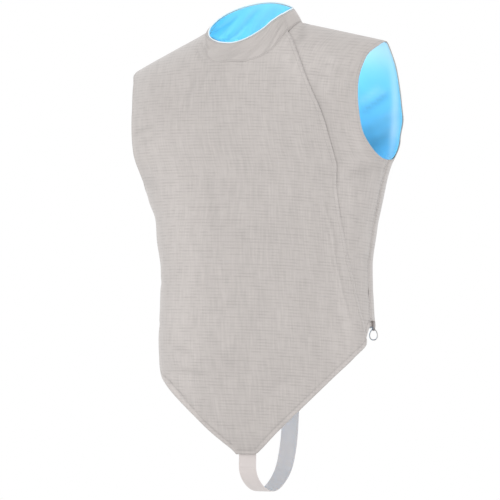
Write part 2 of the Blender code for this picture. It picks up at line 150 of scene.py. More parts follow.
FLAP = np.array((
    # h, s of the free edge, width of the lap in s
    (-0.335, 0.920, 0.15),
    (-0.269, 0.840, 0.16),
    (-0.173, 0.725, 0.16),
    (-0.106, 0.678, 0.16),
    (-0.033, 0.668, 0.16),
    (0.001, 0.640, 0.16),
    (0.046, 0.538, 0.15),
    (0.077, 0.450, 0.13),
    (0.115, 0.330, 0.10),
    (0.134, 0.258, 0.10),
))
NECK = np.array((
    # share of the way out to the neck's side point, share of the drop on the right, and on the left
    (0.000, 1.000, 1.000),
    (0.140, 0.995, 0.999),
    (0.300, 0.942, 0.988),
    (0.420, 0.877, 0.960),
    (0.530, 0.740, 0.930),
    (0.690, 0.490, 0.880),
    (0.850, 0.230, 0.805),
    (0.930, 0.110, 0.735),
    (0.965, 0.052, 0.620),
    (0.985, 0.022, 0.400),
    (1.000, 0.000, 0.000),
))


# %% Small helpers that the whole lesson uses
def ease(x, table, column):
    """Smooth read of a table: cubic steps between its rows that never overshoot them."""
    xs = table[:, 0]
    ys = table[:, column]
    slopes = np.diff(ys) / np.diff(xs)
    before, after = slopes[:-1], slopes[1:]
    level = before * after <= 0
    mean = np.where(level, 0.0, 2 * before * after / np.where(level, 1.0, before + after))
    rates = np.concatenate(([0.0], mean, [0.0]))
    x = np.clip(x, xs[0], xs[-1])
    i = np.clip(np.searchsorted(xs, x) - 1, 0, len(xs) - 2)
    step = xs[i + 1] - xs[i]
    u = (x - xs[i]) / step
    rise = u * u * (3 - 2 * u)
    return (ys[i] + rise * (ys[i + 1] - ys[i])
            + step * u * (1 - u) * ((1 - u) * rates[i] - u * rates[i + 1]))


def smooth(x, low, high):
    """0 below low, 1 above high, and 3u^2 - 2u^3 between."""
    u = np.clip((x - low) / (high - low), 0, 1)
    return u * u * (3 - 2 * u)


def bell(x, width):
    """1 at x = 0, and exp(-(x / width)^2) around it."""
    return np.exp(-(x / width) ** 2)


def joined(*parts):
    """Coordinates joined into points."""
    return np.stack(parts, axis=-1)


def unit(vectors):
    """Vectors divided by their lengths."""
    return vectors / np.linalg.norm(vectors, axis=-1, keepdims=True)


# %% The body as a function of two parameters
def edge_angle(side, z):
    """Angle of a panel's edge round the oval: 90 degrees at the side seam, less up the armhole."""
    u = np.clip((CHEST - z) / (CHEST - ARM_BOTTOM), 0, 1)
    return np.radians(90 - (90 - EDGE_ANGLE[side]) * np.sqrt(1 - u ** 2))


def oval_angle(side, s, z):
    """Angle of a column: inner ones narrow slowly, and |s|^6 bends the outer ones to the armhole."""
    slow = np.radians(90 - (90 - EDGE_ANGLE[side]) * smooth(z, 2 * ARM_BOTTOM - CHEST - 0.1, CHEST))
    return s * (slow + np.abs(s) ** EDGE_PULL * (edge_angle(side, z) - slow))


def ridge(x):
    """y and z of the shoulder ridge over x: a straight fall on hypot(x, soft), plus a bell at the nape."""
    reach = np.hypot(x, RIDGE_SOFT)
    neck, tip = math.hypot(NECK_X, RIDGE_SOFT), math.hypot(TIP_X, RIDGE_SOFT)
    slope = (NECK_Z - TIP_Z) / (tip - neck)
    z = NECK_Z + slope * (neck - reach) + NAPE_RISE * bell(x, NAPE_WIDTH)
    y = NECK_Y + (TIP_Y - NECK_Y) * (reach - RIDGE_SOFT) / (tip - RIDGE_SOFT)
    return y, z


def lean(p):
    """Each level turned about Y and shifted in x, as the lean table says."""
    angle = np.radians(ease(p[..., 2], LEAN, 1))
    x = ease(p[..., 2], LEAN, 2) + p[..., 0] * np.cos(angle)
    z = p[..., 2] + p[..., 0] * np.sin(angle)
    return joined(x, p[..., 1], z)


def form(side, s, h):
    """Body point: s runs -1 to 1 across a panel, and h is the height over the chest line. Below are ovals of
    power 2.4. Above, the oval slides to the shoulder ridge as a cosine while it climbs as a sine."""
    s, h = np.broadcast_arrays(np.asarray(s, float), np.asarray(h, float))
    column = 1 if side > 0 else 2
    z = np.minimum(h, 0) + CHEST
    t = oval_angle(side, s, z)
    x = ease(z, SECTIONS, column) * np.sign(t) * np.abs(np.sin(t)) ** (2 / SQUARE)
    y = AXIS_Y - side * ease(z, SECTIONS, column + 2) * np.abs(np.cos(t)) ** (2 / SQUARE)
    climb = np.clip(h / CROWN, 0, 1) * math.pi / 2
    edge_z = CHEST + (ARM_EDGES[-1, 0] - CHEST) * np.sin(climb)
    x = x * ease(edge_z, ARM_EDGES, column) / ARM_EDGES[0, column]
    ridge_y, ridge_z = ridge(x)
    arch_y = ridge_y + (y - ridge_y) * np.cos(climb) ** ARCH - side * RIDGE_GAP * np.sin(climb) ** 8
    y = np.where(h > 0, arch_y, y)
    z = np.where(h > 0, CHEST + (ridge_z - CHEST) * np.sin(climb), z)
    return joined(x, y, z)


def neck_s(side):
    """s of the neck's side point: the column that ends at the ridge over NECK_X."""
    column = 1 if side > 0 else 2
    share = NECK_X / (ARM_EDGES[-1, column] / ARM_EDGES[0, column]) / SECTIONS[-1, column]
    return math.asin(share ** (SQUARE / 2)) / math.radians(EDGE_ANGLE[side])


def top_h(side, s):
    """h of a panel's top: the shoulder seam. Inside the neck it follows the neckline's table, and behind
    it follows (1 - u^q)^(1/q)."""
    u = np.clip(np.abs(s) / neck_s(side), 0, 1)
    if side > 0:
        return CROWN - FRONT_NECK_DROP * np.where(s < 0, ease(u, NECK, 1), ease(u, NECK, 2))
    return CROWN - BACK_NECK_DROP * (1 - u ** BACK_NECK_SQUARE) ** (1 / BACK_NECK_SQUARE)


def hem_h(side, s):
    """h of a panel's hem: a V in front, nearly level behind."""
    if side > 0:
        return ease(s, HEM, 1)
    return HEM[-1, 1] - BACK_HEM_DROP * (1 - s ** 2)


def left_hem_h(s):
    """h of the left front's hem: a little above the flap's, level with the back's at the side seam."""
    return hem_h(1, s) + LEFT_HEM_RISE * (1 - smooth(s, FLAP[0, 1], 1 - SEAM_SHARE))


# %% [markdown]
# ## Creases, placed one by one
#
# Lame is stiff, so it doesn't drape. It dents, in short soft troughs where the body bends it: beside the
# neck, into the armholes and above the hem. Each row is one trough, with its lengths in millimetres. A bell
# curve across and a flat-topped fade along keep every end soft.

# %% The table of creases
CREASES = np.array((
    # side, x, height, angle from level in degrees, length, width, depth
    (1, -110, -75, -38, 120, 20, 3.0),
    (1, -60, -110, -34, 110, 24, 2.2),
    (1, -165, -195, 24, 60, 14, 2.4),
    (1, 150, -75, -62, 60, 14, 2.0),
    (1, 120, -300, 84, 160, 18, 1.6),
    (1, -125, -545, -14, 55, 15, 2.2),
    (-1, 80, -120, 30, 140, 24, 2.6),
    (-1, -100, -150, -36, 120, 22, 2.4),
    (-1, 20, -360, 4, 200, 26, 2.8),
    # beside the neck, down over the chest
    (1, -57, -36, -45, 36, 3.5, 1.3),
    (1, -52, -26, -46, 36, 4, 1.6),
    (1, -40, -79, 60, 48, 5, 0.9),
    (1, -24, -90, 62, 62, 6, 0.8),
    (1, -62, -85, 56, 50, 6, 0.8),
    (1, 101, -12, -66, 44, 4.2, 1.6),
    (1, 172, -83, -28, 52, 4.5, 1.0),
    (1, 150, -92, -18, 60, 5, 0.7),
    # into the armholes
    (1, -163, -138, 7, 52, 3.8, 1.3),
    (1, -158, -156, 12, 44, 4.5, 0.8),
    (1, -176, -218, -16, 58, 6.5, 1.4),
    (1, -168, -240, -24, 70, 8, 1.2),
    (1, 190, -255, 20, 50, 6, 1.2),
    (1, 176, -232, 8, 46, 4.5, 0.8),
    # long faint drags down the front
    (1, -41, -277, -80, 110, 6.5, 0.6),
    (1, 18, -330, 86, 140, 8, 0.6),
    (1, -98, -340, 82, 120, 7, 0.6),
    (1, 62, -450, -82, 110, 7, 0.6),
    # above the hem
    (1, -100, -511, -10, 36, 3.6, 1.1),
    (1, -82, -546, -8, 46, 4, 1.5),
    (1, -128, -563, -13, 32, 3.2, 1.0),
    (1, -108, -582, -36, 30, 3.2, 1.2),
    (1, 70, -560, 22, 40, 4.5, 0.8),
    # round the hidden sides and the back
    (1, 168, -420, 12, 50, 7, 1.0),
    (1, -172, -400, -10, 60, 8, 1.2),
    (1, -168, -470, 8, 50, 6, 0.9),
    (-1, 60, -50, -52, 70, 7, 1.2),
    (-1, -55, -45, 50, 60, 6, 1.1),
    (-1, 165, -150, 24, 70, 7, 1.4),
    (-1, 150, -178, 14, 80, 8, 1.2),
    (-1, -160, -160, -20, 80, 7.5, 1.4),
    (-1, -140, -200, -10, 70, 6, 0.9),
    (-1, 120, -330, 12, 110, 9, 1.4),
    (-1, -110, -340, -9, 120, 8.5, 1.3),
    (-1, -60, -385, 4, 90, 8, 1.0),
    (-1, 90, -405, -6, 80, 7, 0.9),
    (-1, 10, -250, 84, 150, 10, 0.8),
    (-1, 150, -430, 40, 50, 5.5, 1.0),
)) * (1, MM, MM, 1, MM, MM, MM)


def marks(p, rows):
    """Soft marks at points p, from rows of x, height, angle, length, width and amount. Each is
    amount * exp(-(across / width)^2 - (2 along / length)^4)."""
    total = np.zeros(p.shape[:-1])
    for x, z, turn, length, width, amount in rows:
        c, s = math.cos(math.radians(turn)), math.sin(math.radians(turn))
        along = (p[..., 0] - x) * c + (p[..., 2] - z) * s
        across = (p[..., 2] - z) * c - (p[..., 0] - x) * s
        total += amount * np.exp(-(across / width) ** 2 - (2 * along / length) ** 4)
    return total


def crease_depth(side, p, widest=1.0):
    """How deep one side's creases sink at body points p. Creases wider than widest don't count."""
    return marks(p, CREASES[(CREASES[:, 0] == side) & (CREASES[:, 5] < widest), 1:])


def cloth_point(side, s, h, out=0.0):
    """Point of the worn cloth's outer face: the body point, less the crease depth, moved out by out."""
    step = 1e-3
    s0, s1 = np.clip(s - step, -1, 1), np.clip(s + step, -1, 1)
    h1 = np.minimum(h + step, CROWN)
    across = lean(form(side, s1, h)) - lean(form(side, s0, h))
    up = lean(form(side, s, h1)) - lean(form(side, s, h1 - 2 * step))
    normal = unit(np.cross(across, up)) * side
    p = form(side, s, h)
    move = np.asarray(out) - crease_depth(side, p)
    return lean(p) + normal * move[..., None]


# %% [markdown]
# ## From a grid of points to a piece of cloth
#
# numpy works out a whole grid of points at once, and the mesh takes it in three calls. A Solidify modifier
# then gives the cloth its wall, inward from the outer face. A UV map in metres says how far each point is
# across the cloth and up along the weave, and the weave is drawn on that.

# %% Grid helpers
def normals_of(points, outward):
    """Cross product of the grid's two gradients, turned outward by the sign."""
    across = np.gradient(points, axis=1)
    up = np.gradient(points, axis=0)
    return unit(np.cross(across, up)) * outward


def run_along(points, axis):
    """Length run so far along one axis of the grid."""
    steps = np.linalg.norm(np.diff(points, axis=axis), axis=-1)
    start = np.zeros_like(np.take(steps, [0], axis=axis))
    return np.concatenate((start, np.cumsum(steps, axis=axis)), axis=axis)


def read_at(wanted, run, path):
    """Points of a path at the wanted runs along it."""
    return np.stack([np.interp(wanted, run, path[:, k]) for k in range(3)], axis=-1)


def from_edge(points, axis, end):
    """Distance of each point from one edge: the run along its row or column, times the sine of the angle
    at which that meets the edge."""
    run = run_along(points, axis)
    total = np.take(run, [-1], axis=axis)
    run = total - run if end else run
    grid = np.moveaxis(points, axis, 0)
    edge, inner = (grid[-1], grid[-3]) if end else (grid[0], grid[2])
    slant = np.linalg.norm(np.cross(unit(np.gradient(edge, axis=0)), unit(inner - edge)), axis=-1)
    return run * np.expand_dims(np.clip(slant, 0.35, 1), axis)


def quads_of(rows, columns, closed_rows=False, closed_columns=False):
    """Corner numbers of the faces between grid points, wrapped round where an axis is closed."""
    index = np.arange(rows * columns).reshape(rows, columns)
    if closed_rows:
        index = np.vstack((index, index[:1]))
    if closed_columns:
        index = np.hstack((index, index[:, :1]))
    return joined(index[:-1, :-1], index[:-1, 1:], index[1:, 1:], index[1:, :-1]).reshape(-1, 4)


def mesh_of(name, points, quads, uv=None, values=None):
    """Mesh from arrays of points and quads, with a UV pair and named numbers for each point."""
    flat = np.asarray(points, float).reshape(-1, 3)
    quads = np.asarray(quads)
    mesh = bpy.data.meshes.new(name)
    mesh.vertices.add(len(flat))
    mesh.vertices.foreach_set("co", flat.astype(np.float32).ravel())
    mesh.loops.add(quads.size)
    mesh.loops.foreach_set("vertex_index", quads.ravel().astype(np.int32))
    mesh.polygons.add(len(quads))
    mesh.polygons.foreach_set("loop_start", np.arange(0, quads.size, 4, dtype=np.int32))
    mesh.update(calc_edges=True)
    if uv is not None:
        layer = mesh.uv_layers.new(name="cloth")
        layer.data.foreach_set("uv", uv.reshape(-1, 2)[quads.ravel()].astype(np.float32).ravel())
    for key, value in (values or {}).items():
        numbers = mesh.attributes.new(key, "FLOAT", "POINT").data
        numbers.foreach_set("value", np.asarray(value, np.float32).ravel())
    mesh.polygons.foreach_set("use_smooth", np.ones(len(quads), bool))
    return mesh


def add_object(name, data):
    """Object at the origin of the scene."""
    thing = bpy.data.objects.new(name, data)
    bpy.context.scene.collection.objects.link(thing)
    return thing


def add_piece(name, arrays, finish, body="vest", replaces=None):
    """Piece with one finish, riding on a body, and standing for a solid if one is named."""
    piece = add_object(name, mesh_of(name, *arrays))
    piece.data.materials.append(finish)
    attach(piece, body)
    if replaces:
        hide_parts(replaces)
    return piece


def add_cloth(name, points, wall, outward, finish, replaces, values, uv=None):
    """A sheet of cloth with a thin wall, standing in for a named solid. Its UV map is its runs across and
    up, unless another is given."""
    if uv is None:
        uv = joined(run_along(points, 1), run_along(points, 0))
    quads = quads_of(*points.shape[:2])
    if outward < 0:
        quads = quads[:, ::-1]
    piece = add_piece(name, (points, quads, uv, values), finish, replaces=replaces)
    shell = piece.modifiers.new("wall", "SOLIDIFY")
    shell.thickness = wall
    shell.offset = -1.0
    return piece


# %% [markdown]
# ## Node helpers
#
# A material is a small network. These helpers add one node at a time and join it to the sockets that it
# reads, so the recipes below read like sums.

# %% Node helpers
def new_finish(name, colour, roughness, metallic=0.0, sheen=0.0):
    """Principled material with its constant values on the shader's own sockets."""
    finish = bpy.data.materials.new(name)
    finish.use_nodes = True
    shader = finish.node_tree.nodes["Principled BSDF"]
    for key, value in (("Base Color", (*colour, 1)), ("Roughness", roughness), ("Metallic", metallic),
                       ("Sheen Weight", sheen), ("Sheen Roughness", 0.4)):
        shader.inputs[key].default_value = value
    return finish, shader


def plug(socket, value):
    """Give a socket a value, or link it to another socket."""
    if isinstance(value, bpy.types.NodeSocket):
        socket.id_data.links.new(value, socket)
    else:
        socket.default_value = value


def add_node(beside, kind, inputs, **settings):
    """Outputs of a new node in the tree of a node or socket, made with its settings and then its inputs."""
    node = beside.id_data.nodes.new("ShaderNode" + kind)
    for key, value in settings.items():
        setattr(node, key, value)
    for key, value in inputs.items():
        plug(node.inputs[key], value)
    return node.outputs


def calc(operation, *values):
    """One sum of numbers and sockets."""
    beside = next(value for value in values if isinstance(value, bpy.types.NodeSocket))
    return add_node(beside, "Math", dict(enumerate(values)), operation=operation)[0]


def times(a, b, plus=None):
    """a * b, or a * b + plus."""
    return calc("MULTIPLY", a, b) if plus is None else calc("MULTIPLY_ADD", a, b, plus)


def swing(noise, amount, base):
    """base + amount * (noise - 0.5)."""
    return times(calc("SUBTRACT", noise, 0.5), amount, base)


def attribute(shader, name):
    """A number that each point of the mesh carries."""
    return add_node(shader, "Attribute", {}, attribute_name=name)["Fac"]


def weave_axes(shader):
    """The UV map's two numbers."""
    return add_node(shader, "SeparateXYZ", {0: add_node(shader, "UVMap", {}, uv_map="cloth")[0]})[:2]


def stretched_noise(across, up, size_across, size_up, detail=2.0):
    """Noise, 0 to 1, whose spots are size_across by size_up metres."""
    place = add_node(across, "CombineXYZ", {0: times(across, 1 / size_across), 1: times(up, 1 / size_up)})[0]
    return add_node(across, "TexNoise", {"Vector": place, "Scale": 1.0, "Detail": detail})["Fac"]


def ripple(coordinate, pitch):
    """Wave from 0 to 1 with one crest every pitch."""
    turns = times(coordinate, 2 * math.pi / pitch)
    return times(calc("SINE", turns), 0.5, 0.5)


def shade_colour(shader, colour, factor):
    """Base colour times a changing factor. Returns the product too."""
    shade = add_node(shader, "VectorMath", {0: colour, "Scale": factor}, operation="SCALE")[0]
    plug(shader.inputs["Base Color"], shade)
    return shade


def add_bump(shader, height):
    """Bump from a height in metres."""
    bump = add_node(shader, "Bump", {"Distance": 1.0, "Strength": 1.0, "Height": height})
    plug(shader.inputs["Normal"], bump[0])


# %% [markdown]
# ## Silver lame
#
# Lame is woven with metal-wrapped thread. Seen close it has fine level ribs about 5 mm apart, which fade in
# and out, and faint long streaks down the cloth where threads differ. It is greyer and softer than foil,
# because thousands of tiny threads scatter the light.

# %% Lame finish
RIB_PITCH = 0.0049
COLLAR_PITCH = 0.0031
THREAD_PITCH = 0.0009
LAME_COLOUR = (0.458, 0.426, 0.409)


def patchy(across, up, size_across, size_up):
    """Soft mask, 0 to 1: noise stretched in contrast, so that the ribs come and go in patches."""
    spots = stretched_noise(across, up, size_across, size_up)
    spots = times(spots, 3.2, -1.05)
    return calc("MINIMUM", calc("MAXIMUM", spots, 0.10), 1.0)


def lame_finish(name, pitch, rib_dark, streak_tone):
    """Lame: ribs that darken by rib_dark, partly their own pattern and partly painted shade of their relief,
    fine streaks of streak_tone across them, and soft patches.
    """
    finish, shader = new_finish(name, LAME_COLOUR, 0.50, 0.20, 0.30)
    across, up = weave_axes(shader)
    wander = stretched_noise(across, up, 0.060, 0.020)
    rib_up = times(wander, 0.0014, up)
    rib = calc("POWER", ripple(rib_up, pitch), 2.6)
    rib = times(rib, patchy(across, up, 0.022, 0.010))
    streak = stretched_noise(across, up, 0.0024, 0.034, 3.0)
    patch = stretched_noise(across, up, 0.020, 0.070)
    thread = times(ripple(across, THREAD_PITCH), ripple(up, THREAD_PITCH))
    factor = times(rib, -rib_dark, 1.0 + 0.4 * rib_dark)
    factor = swing(patch, 0.14, swing(streak, streak_tone, factor))
    # hem numbers: lighter band, painted shade in grooves, creases, seams; painted highlight on ridge, lip
    factor = times(attribute(shader, "hem"), 0.07, factor)
    shade_colour(shader, LAME_COLOUR, factor)
    height = times(rib, -0.00022)
    height = times(streak, 0.00020, height)
    height = times(thread, 0.00003, height)
    add_bump(shader, height)
    return finish


lame = lame_finish("silver_lame", RIB_PITCH, 0.15, 0.32)
collar_lame = lame_finish("collar_lame", COLLAR_PITCH, 0.20, 0.12)

# %% [markdown]
# ## The panels' grids
#
# Columns run up from the hem to the shoulder. Near the top they dip towards the neckline, so one grid serves
# both edges. Extra columns crowd to the side of the neck, where the neckline turns steeply.

# %% Rows and columns
LOW_ROWS = 92
ARM_ROWS = 22
TOP_ROWS = 70
HALF_COLUMNS = 66
LEFT_COLUMNS = 60
CROWD = 22
CLOSEST = 0.0012


def row_shares():
    """Shares of the way up: even to the armhole, closer round its bottom, even above the chest line."""
    side_height = CROWN - HEM[-1, 1]
    low = (ARM_BOTTOM - CHEST - HEM[-1, 1]) / side_height
    chest = -HEM[-1, 1] / side_height
    curve = low + (chest - low) * (1 - np.cos(np.linspace(0, math.pi / 2, ARM_ROWS)))
    top = np.linspace(chest, 1, TOP_ROWS)
    return np.concatenate((np.linspace(0, low, LOW_ROWS)[:-1], curve, top[1:]))[:, None]


def columns_of(side, even, signs):
    """Even columns, and on each named side of the neck more of them, at neck_s * sin(angle)^(2/q)."""
    crowd = neck_s(side) * np.sin(np.linspace(0.25, math.pi / 2, CROWD)) ** (2 / BACK_NECK_SQUARE)
    every = np.sort(np.concatenate([even] + [sign * crowd for sign in signs]))
    neck_points = np.array([sign * neck_s(side) for sign in signs])
    apart = np.append(np.diff(every) > CLOSEST, True)
    kept = apart | np.isin(every, neck_points)
    near = np.abs(every[:, None] - neck_points).min(axis=1)
    return every[kept & ((near == 0) | (near > CLOSEST))]


def row_h(v, hem, top):
    """h at share v of the way up: hem + (crown - hem) v - (crown - top) v^4."""
    return hem + (CROWN - hem) * v - (CROWN - top) * v ** NECK_DIP


def free_edge_h(v):
    """h of the flap's free edge for each share v, found by closing in on it."""
    h = HEM[-1, 1] + (FLAP_TOP - HEM[-1, 1]) * v
    for _ in range(30):
        h = row_h(v, hem_h(1, ease(h, FLAP, 1)), FLAP_TOP)
    return h


def left_neck_s(h):
    """s of the neckline at height h on the wearer's left."""
    return neck_s(1) * np.interp((CROWN - h) / FRONT_NECK_DROP, NECK[::-1, 2], NECK[::-1, 0])


def hidden_edge_s(h):
    """s of the left front's edge under the flap: one lap inside the free edge, never inside the neckline."""
    return np.maximum(ease(h, FLAP, 1) - ease(h, FLAP, 2), left_neck_s(h) + 2 * SEAM_SHARE)


def main_front_grid():
    """s, h and lift of the main front, from the right side seam to the flap's free edge."""
    v = row_shares()
    last = ease(free_edge_h(v), FLAP, 1)
    right = columns_of(1, np.linspace(SEAM_SHARE - 1, 0, HALF_COLUMNS), (-1,))
    left = 1 - (1 - np.linspace(0, 1, HALF_COLUMNS)[1:]) ** 1.15
    s = np.hstack((right + 0 * v, last * left))
    top = top_h(1, s[-1])
    top = np.where(s[-1] > 0, np.minimum(top, FLAP_TOP), top)
    h = row_h(v, hem_h(1, s), top)
    inside = (ease(h, FLAP, 1) - s) / ease(h, FLAP, 2)
    return s, h, LAP_LIFT * (1 - smooth(inside, LAP_FULL, LAP_RAMP))


def left_front_grid():
    """s, h and lift of the left front, from its edge under the flap to the side seam and armhole."""
    v = row_shares()
    h = HEM[-1, 1] + (CROWN - HEM[-1, 1]) * v
    for _ in range(30):
        first = hidden_edge_s(h)
        h = row_h(v, left_hem_h(first), CROWN)
    s = first + (1 - SEAM_SHARE - first) * np.linspace(0, 1, LEFT_COLUMNS)[None, :]
    return s, row_h(v, left_hem_h(s), CROWN), 0.0 * s


def back_grid():
    """s, h and lift of the back, side seam to side seam."""
    v = row_shares()
    s = columns_of(-1, np.linspace(SEAM_SHARE - 1, 1 - SEAM_SHARE, 2 * HALF_COLUMNS - 1), (-1, 1)) + 0 * v
    return s, row_h(v, hem_h(-1, s), top_h(-1, s)), 0.0 * s


# %% [markdown]
# ## Edges and the flap's pressed ridge
#
# The hem is turned up and sewn, which leaves a band that is a little thicker; it is drawn a little lighter.
# Seams pull the cloth down beside them, and the groove over the hem band gets painted shade. Inside the
# flap's edge, low down, the zip's facing presses a long ridge, with a painted highlight on its crest and
# painted shade beside it. The flap's lip gets a painted highlight, and the cloth under it a painted shadow.

# %% Detail on the panels
HEM_BAND = 0.0070
HEM_EASE = 0.0055
EASE_S = -0.46
EASE_REACH = 0.16
BAND_RISE = 0.0004
BAND_SOFT = (-0.0012, 0.0004)
GROOVE = 0.0006
GROOVE_OUT = 0.0008
GROOVE_WIDTH = 0.0011
# painted shade: how much darker the groove over the hem band is drawn
GROOVE_PAINTED_SHADE = 1.3
EDGE_ROLL = 0.0007
ROLL_WIDTH = 0.0018
RIDGE_LINE = np.array((
    # h, s of the ridge, how strong it is
    (-0.310, 0.745, 0.0),
    (-0.297, 0.732, 0.4),
    (-0.257, 0.677, 1.0),
    (-0.210, 0.635, 1.0),
    (-0.165, 0.607, 0.9),
    (-0.130, 0.558, 0.3),
    (-0.110, 0.545, 0.0),
))
RIDGE_RISE = 0.0015
RIDGE_WIDTH = 0.0022
TROUGH_SINK = 0.0010
TROUGH_OUT = 0.0055
TROUGH_WIDTH = 0.0035
LIP_WIDTH = 0.0016
FLAP_SHADOW = 3.2
WEAVE_WIDTH = 0.250
WEAVE_FALL = 0.070
FALL_FROM = -0.5
FALL_FULL = 0.9
FINE_CREASE = 0.0066
CREASE_PAINTED_SHADE = 900.0


def weave_map(side, s, h):
    """UV in metres: s times the half width, and the level height plus a fall that steepens over s."""
    level = lean(form(side, s, h))[..., 2]
    over = np.maximum(s - FALL_FROM, 0)
    fall = np.where(over < FALL_FULL, over ** 2 / (2 * FALL_FULL), over - FALL_FULL / 2)
    up = level + (WEAVE_FALL * WEAVE_WIDTH * fall if side > 0 else 0.0)
    return joined(s * WEAVE_WIDTH, up)


def hem_band(side, s):
    """Width of the turned-up hem: even, and wider where it is eased round the right front's corner."""
    return HEM_BAND + (HEM_EASE * bell(s - EASE_S, EASE_REACH) if side > 0 else 0.0 * s)


def edge_roll(points, depth, width):
    """How far the cloth rolls in at its four edges: a bell on the distance from each."""
    return sum(depth * bell(from_edge(points, axis, end), width) for axis in (0, 1) for end in (False, True))


def finish_edges(side, s, points):
    """Move and tone of a raised hem band drawn a little lighter, a sewn groove over it with painted shade in
    it, and every edge rolled in a little.
    """
    hem = from_edge(points, 0, False)
    inner = hem_band(side, s)
    band = 1 - smooth(hem, inner + BAND_SOFT[0], inner + BAND_SOFT[1])
    groove = bell(hem - inner - GROOVE_OUT, GROOVE_WIDTH)
    move = BAND_RISE * band - GROOVE * groove - edge_roll(points, EDGE_ROLL, ROLL_WIDTH)
    return move, band - GROOVE_PAINTED_SHADE * groove


def ridge_and_lip(s, h):
    """Lift and tone of the pressed ridge, a narrow bell with a trough on its outer side, and tone of the
    flap's lip. The tones are a painted highlight on crest and lip and painted shade in the trough."""
    across = (s - ease(h, RIDGE_LINE, 1)) * WEAVE_WIDTH
    strength = ease(h, RIDGE_LINE, 2)
    crest = bell(across, RIDGE_WIDTH)
    trough = bell(across - TROUGH_OUT, TROUGH_WIDTH)
    lip = bell((s - ease(h, FLAP, 1)) * WEAVE_WIDTH, LIP_WIDTH)
    lift = strength * (RIDGE_RISE * crest - TROUGH_SINK * trough)
    # painted highlight on the ridge's crest and the flap's lip, painted shade in the trough
    return lift, strength * (1.3 * crest - 0.9 * trough) + 0.9 * lip


def flap_shadow(s, h):
    """No lift, and a painted shadow: a dark line where the flap's free edge lies on the left front."""
    return 0.0 * s, -FLAP_SHADOW * bell((s - ease(h, FLAP, 1)) * WEAVE_WIDTH, LIP_WIDTH)


# %% Main front, left front and back
def make_panel(name, side, grid, detail=None):
    """One lame panel: the body's grid, moved by its edges and its own detail. Gives points and normals."""
    s, h, lift = grid
    points = cloth_point(side, s, h, lift)
    normals = normals_of(points, side)
    move, tone = finish_edges(side, s, points)
    # painted shade: narrow creases are drawn darker by their depth
    tone = tone - CREASE_PAINTED_SHADE * crease_depth(side, form(side, s, h), FINE_CREASE)
    if detail:
        extra, extra_tone = detail(s, h)
        move, tone = move + extra, tone + extra_tone
    shown = points + normals * move[..., None]
    add_cloth(name, shown, PANEL_WALL, side, lame, name.replace("_cloth", ""), {"hem": tone},
              weave_map(side, s, h))
    return shown, normals


main_grid = main_front_grid()
MAIN = make_panel("front_right_cloth", 1, main_grid, ridge_and_lip)
LEFT = make_panel("front_left_cloth", 1, left_front_grid(), flap_shadow)
BACK = make_panel("back_cloth", -1, back_grid())

# %% [markdown]
# ## Blue satin lining
#
# The lining is a smooth, shiny satin. It shows in the neck and through the armhole, so it gets folds of its
# own, longer and softer than the lame's.

# %% Satin finish
SATIN_COLOUR = (0.200, 0.690, 0.980)
SATIN_PAINTED_HIGHLIGHT = (0.640, 0.880, 0.980)
FOLD_PAINTED_SHADE = 70.0

# very fine threads, faint brighter bands, painted shade in the folds, and painted highlights of pale shine
satin, shader = new_finish("blue_satin", SATIN_COLOUR, 0.34, 0.0, 0.45)
across, up = weave_axes(shader)
band = stretched_noise(across, up, 0.030, 0.120)
factor = times(attribute(shader, "fold"), -FOLD_PAINTED_SHADE, swing(band, 0.16, 1.0))
shade = shade_colour(shader, SATIN_COLOUR, factor)
# painted highlight: the colour is mixed towards pale blue by each point's highlight share
mix = {"Factor": attribute(shader, "painted_highlight"), "A": shade, "B": (*SATIN_PAINTED_HIGHLIGHT, 1)}
plug(shader.inputs["Base Color"], add_node(shader, "Mix", mix, data_type="RGBA")["Result"])
add_bump(shader, times(times(ripple(across, 0.0006), ripple(up, 0.0006)), 0.00002))


# %% Linings
def slid_in(points, ends, sides):
    """A layer with its first and last rows and columns slid inward, each by its own length."""
    layer = points
    for axis, (start, end) in ((0, ends), (1, sides)):
        run = run_along(layer, axis)
        total = np.take(run, [-1], axis=axis)
        target = start + (total - start - end) * (run / total)
        grid, runs, wanted = (np.moveaxis(a, axis, 0) for a in (layer, run, target))
        moved = [read_at(wanted[:, j], runs[:, j], grid[:, j]) for j in range(grid.shape[1])]
        layer = np.moveaxis(np.stack(moved, axis=1), 0, axis)
    return layer


BACK_LINING_FOLDS = (
    # x, height, angle from level, length, width, depth inward
    (0.175, -0.113, 32.0, 0.060, 0.0050, 0.0042),
    (0.180, -0.150, 26.0, 0.090, 0.012, 0.0030),
    (0.182, -0.180, 34.0, 0.080, 0.012, 0.0045),
    (0.120, -0.185, 10.0, 0.120, 0.014, 0.0035),
    (-0.150, -0.140, -28.0, 0.110, 0.012, 0.0040),
    (-0.120, -0.190, -12.0, 0.120, 0.014, 0.0035),
)
BACK_LINING_PAINTED_HIGHLIGHTS = (
    # x, height, angle from level, length, width, share of painted pale highlight
    (0.190, -0.022, -8.0, 0.090, 0.032, 0.75),
    (0.213, -0.140, 88.0, 0.180, 0.007, 0.60),
    (0.165, -0.101, 30.0, 0.050, 0.006, 0.25),
)
FRONT_LINING_FOLDS = (
    # x, height, angle from level, length, width, depth inward
    (-0.120, -0.130, 30.0, 0.100, 0.012, 0.0035),
    (-0.150, -0.190, 12.0, 0.100, 0.014, 0.0030),
    (0.080, -0.160, -20.0, 0.100, 0.013, 0.0030),
)


